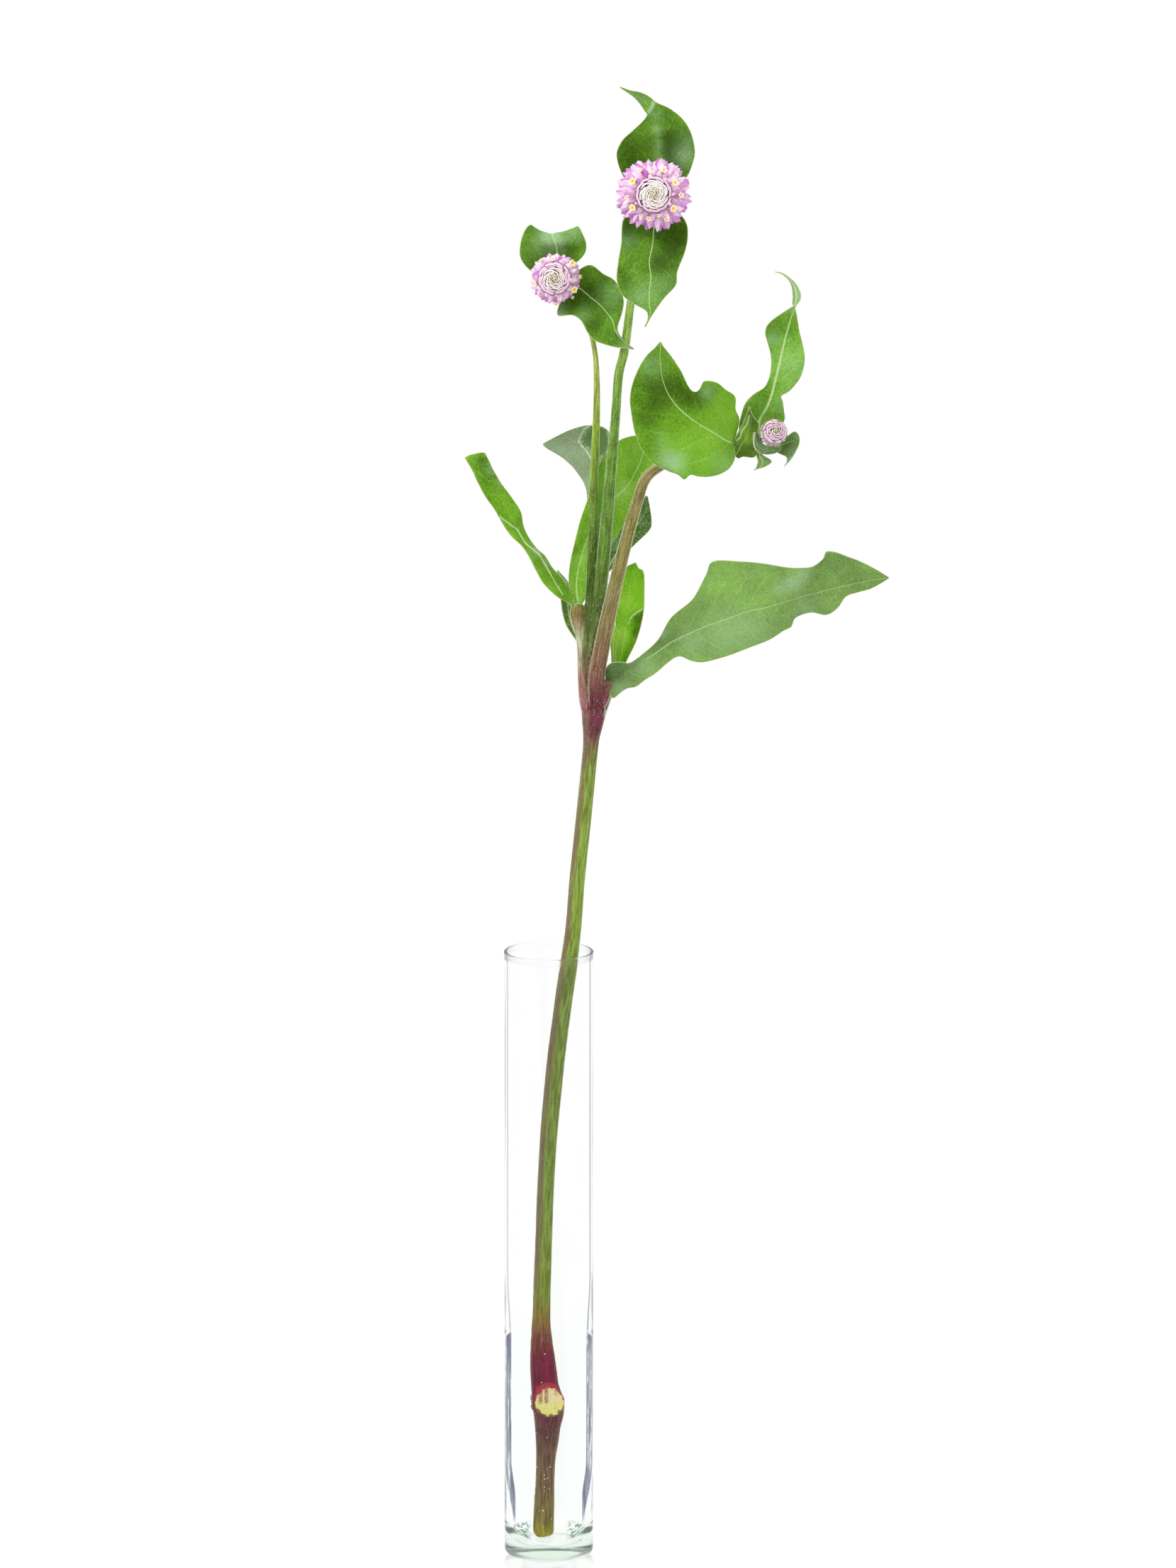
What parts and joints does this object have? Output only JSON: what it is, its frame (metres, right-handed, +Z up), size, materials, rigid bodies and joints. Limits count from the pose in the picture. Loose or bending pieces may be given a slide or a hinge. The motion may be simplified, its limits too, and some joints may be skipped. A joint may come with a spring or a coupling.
{
  "type": "globe amaranth stem in vase",
  "caption": "Branching globe amaranth stem with papery flower heads and leaves, standing in water in a slim glass tube vase.",
  "frame": {"origin": "centre of the vase's flat bottom", "axes": "+Z up along the vase, -Y towards the side that the flower heads face, +X towards the longest leaf"},
  "size_m": [0.1426, 0.0734, 0.5086],
  "materials": {
    "vase_glass": "gloss",
    "water": "gloss",
    "stem": "satin",
    "leaf_deep": "satin",
    "leaf_bright": "satin",
    "leaf_grey": "satin",
    "bract_lilac": "satin",
    "bract_pale": "satin"
  },
  "bodies": {
    "root": {"vase": "vase_glass", "water": "water", "stem": "stem", "head_top": "bract_lilac", "head_left": "bract_lilac", "bud_right": "bract_pale", "leaf_top_upper": "leaf_deep", "leaf_top_lower": "leaf_deep", "leaf_left_upper": "leaf_deep", "leaf_left_lower": "leaf_deep", "leaf_right_broad": "leaf_bright", "leaf_right_tall": "leaf_deep", "leaf_low_right": "leaf_grey", "leaf_low_left": "leaf_bright", "leaf_back_left": "leaf_grey", "leaf_back_tall": "leaf_bright", "leaf_back_right": "leaf_deep", "leaf_mid_right": "leaf_bright", "leaf_axil_small": "leaf_bright", "leaf_under_left": "leaf_deep", "bud_leaf_left": "leaf_grey", "bud_leaf_right": "leaf_grey", "bud_leaf_below": "leaf_grey", "bud_cup": "leaf_grey"}
  },
  "joints": []
}
